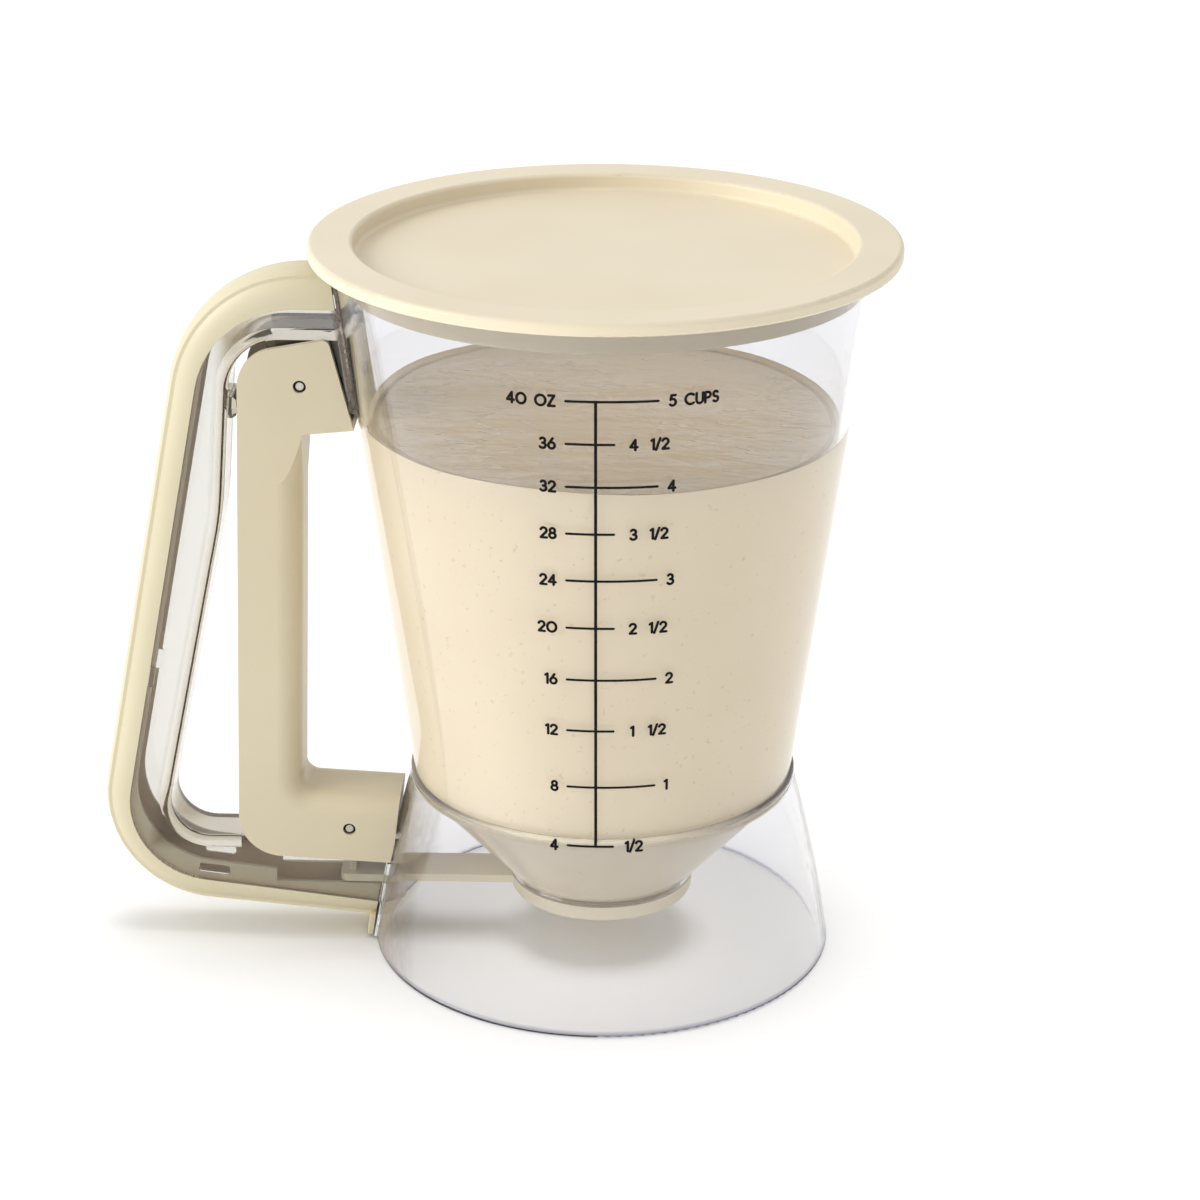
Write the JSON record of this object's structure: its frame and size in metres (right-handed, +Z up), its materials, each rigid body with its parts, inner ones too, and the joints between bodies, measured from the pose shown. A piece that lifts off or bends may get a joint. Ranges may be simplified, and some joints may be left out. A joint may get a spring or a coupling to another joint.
{
  "type": "batter_dispenser",
  "caption": "Clear pancake batter dispenser with a lift-off lid, funnel outlet, flared base and a squeeze trigger in the handle that slides a gate under the outlet",
  "frame": {"origin": "the centre of the foot ring, on the jug's axis, at table height", "axes": "+Z up along the jug's axis, the handle points along -X, the measuring scale is on the -Y side"},
  "size_m": [0.1991, 0.1432, 0.1861],
  "materials": {
    "cream_plastic": "satin moulded cream plastic",
    "clear_plastic": "clear polished plastic",
    "pin_steel": "plain turned steel",
    "spring_steel": "drawn spring wire"
  },
  "bodies": {
    "dispenser": {"jug_body": "clear_plastic", "base_skirt": "clear_plastic", "handle_frame": "clear_plastic", "handle_cover": "cream_plastic", "pivot_pin": "pin_steel", "return_spring": "spring_steel"},
    "trigger": {"trigger": "cream_plastic", "link_pin": "pin_steel"},
    "gate": {"gate": "cream_plastic"},
    "lid": {"lid": "cream_plastic"}
  },
  "joints": [
    {"name": "trigger_swing", "type": "hinge", "parent": "dispenser", "child": "trigger", "pos_m": [-0.0736, 0, 0.1504], "axis": [0, 1, 0], "range_deg": [0, 7.5], "stiffness_Nm_per_rad": 1.5, "springref_deg": -7.45, "deforming": ["return_spring"]},
    {"name": "gate_slide", "type": "slide", "parent": "dispenser", "child": "gate", "axis": [-1, 0, 0], "range_m": [0, 0.0156]},
    {"name": "lid_lift", "type": "slide", "parent": "dispenser", "child": "lid", "axis": [0, 0, 1], "range_m": [0, 0.05]}
  ],
  "couplings": [
    {"joint": "gate_slide", "follows": "trigger_swing", "m_per_rad": 0.1184}
  ]
}
